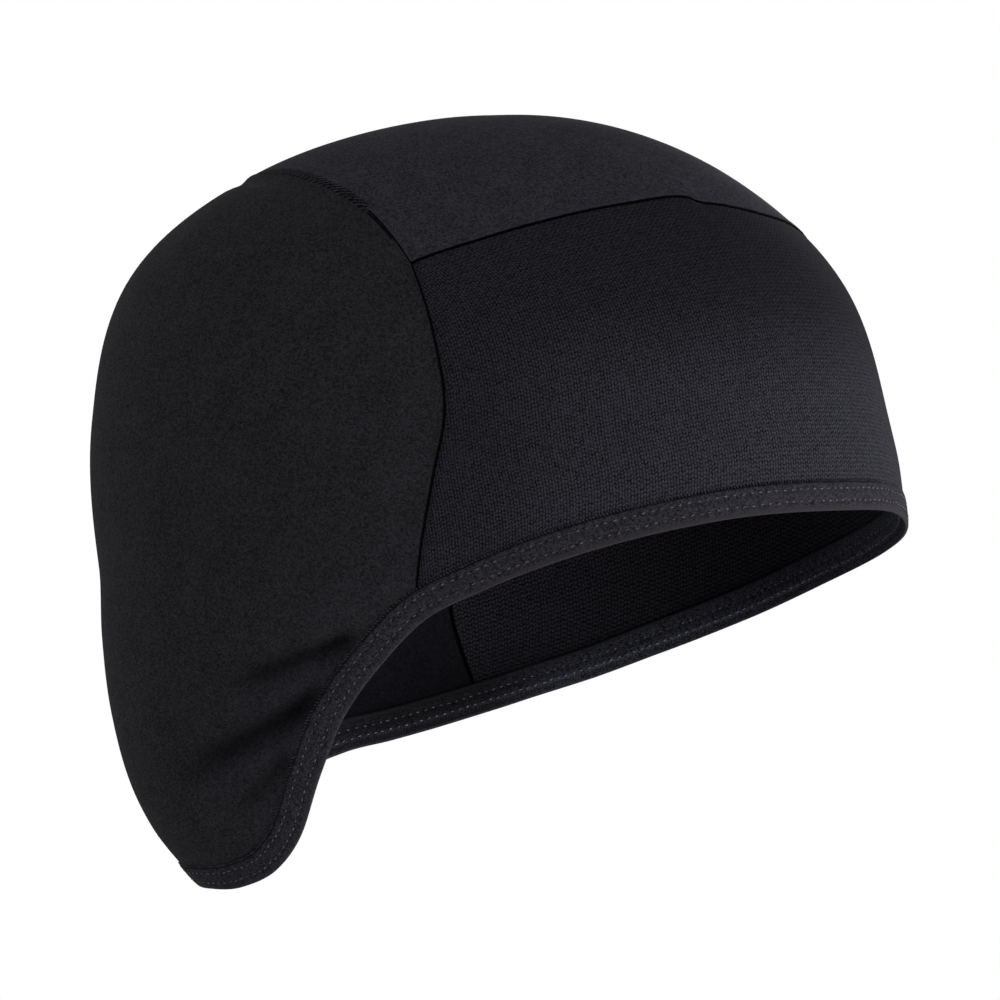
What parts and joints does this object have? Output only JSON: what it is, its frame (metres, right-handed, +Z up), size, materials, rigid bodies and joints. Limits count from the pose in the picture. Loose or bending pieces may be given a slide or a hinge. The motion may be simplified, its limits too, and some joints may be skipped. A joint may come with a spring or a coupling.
{
  "type": "skull cap",
  "caption": "Close-fitting thermal skull cap of stretch panels with a bound edge, cut over the forehead and down round the ears to the nape.",
  "frame": {"origin": "inside of the crown, where the top of the head touches the cap", "axes": "+Z up, forehead towards -Y, the wearer's left towards +X"},
  "size_m": [0.1516, 0.1984, 0.1893],
  "materials": {
    "ribbed_knit": "matt charcoal knit with fine ribs about 1 mm apart",
    "top_knit": "matt black brushed stretch knit",
    "brushed_knit": "matt black brushed stretch knit with a short nap",
    "binding_knit": "matt black elastic knit with two rows of flat stitching"
  },
  "bodies": {
    "root": {"forehead_panel": "ribbed_knit", "top_panel": "top_knit", "side_panel_right": "brushed_knit", "side_panel_left": "brushed_knit", "hem_binding": "binding_knit"}
  },
  "joints": []
}
